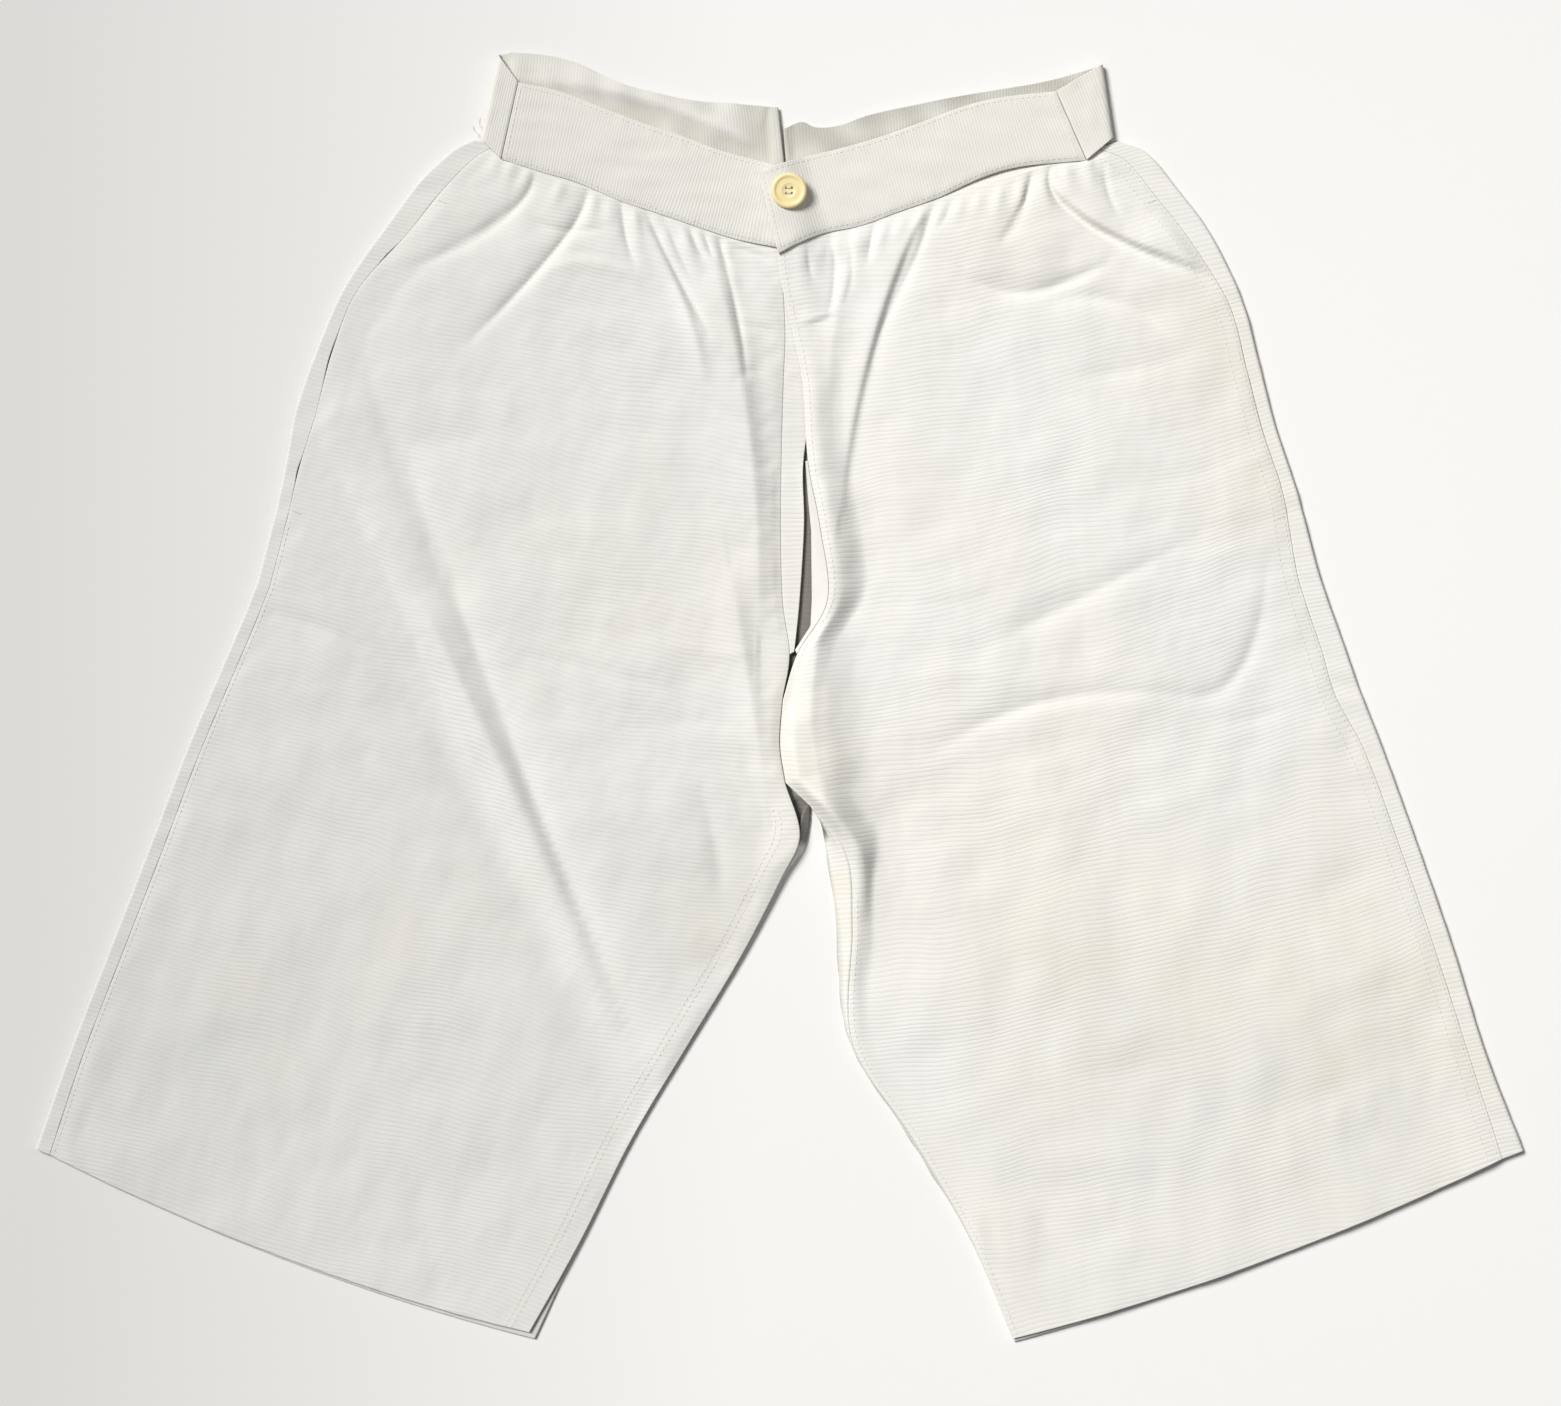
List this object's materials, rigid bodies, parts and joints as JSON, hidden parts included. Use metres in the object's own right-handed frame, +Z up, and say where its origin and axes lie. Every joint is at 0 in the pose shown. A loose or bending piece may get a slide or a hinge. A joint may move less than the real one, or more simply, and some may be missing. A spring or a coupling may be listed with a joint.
{
  "type": "cropped pants laid flat",
  "caption": "Cropped wide-leg pants of ribbed cotton laid flat, with a gathered waistband, buttoned fly, side pockets and turned-up hems.",
  "frame": {"origin": "under the middle of the garment, on the surface it lies on", "axes": "+X to the wearer's left side, +Y towards the waist, +Z up from the surface"},
  "size_m": [0.8323, 0.7207, 0.0215],
  "materials": {
    "ribbed_cotton": "off-white cotton with fine cross ribs, matte",
    "band_cotton": "the same cotton doubled, ribs running across the band",
    "plain_cotton": "plain woven off-white cotton, matte",
    "button_cream": "cream-yellow pressed button with a satin shine"
  },
  "bodies": {
    "root": {"back_right": "ribbed_cotton", "back_left": "ribbed_cotton", "front_right": "ribbed_cotton", "front_left": "ribbed_cotton", "waistband_back_right": "band_cotton", "waistband_back_left": "band_cotton", "waistband_front_right": "band_cotton", "waistband_front_left": "band_cotton", "fly_stand": "ribbed_cotton", "fly_facing": "plain_cotton", "pocket_bag_right": "plain_cotton", "pocket_bag_left": "plain_cotton", "button": "button_cream"}
  },
  "joints": []
}
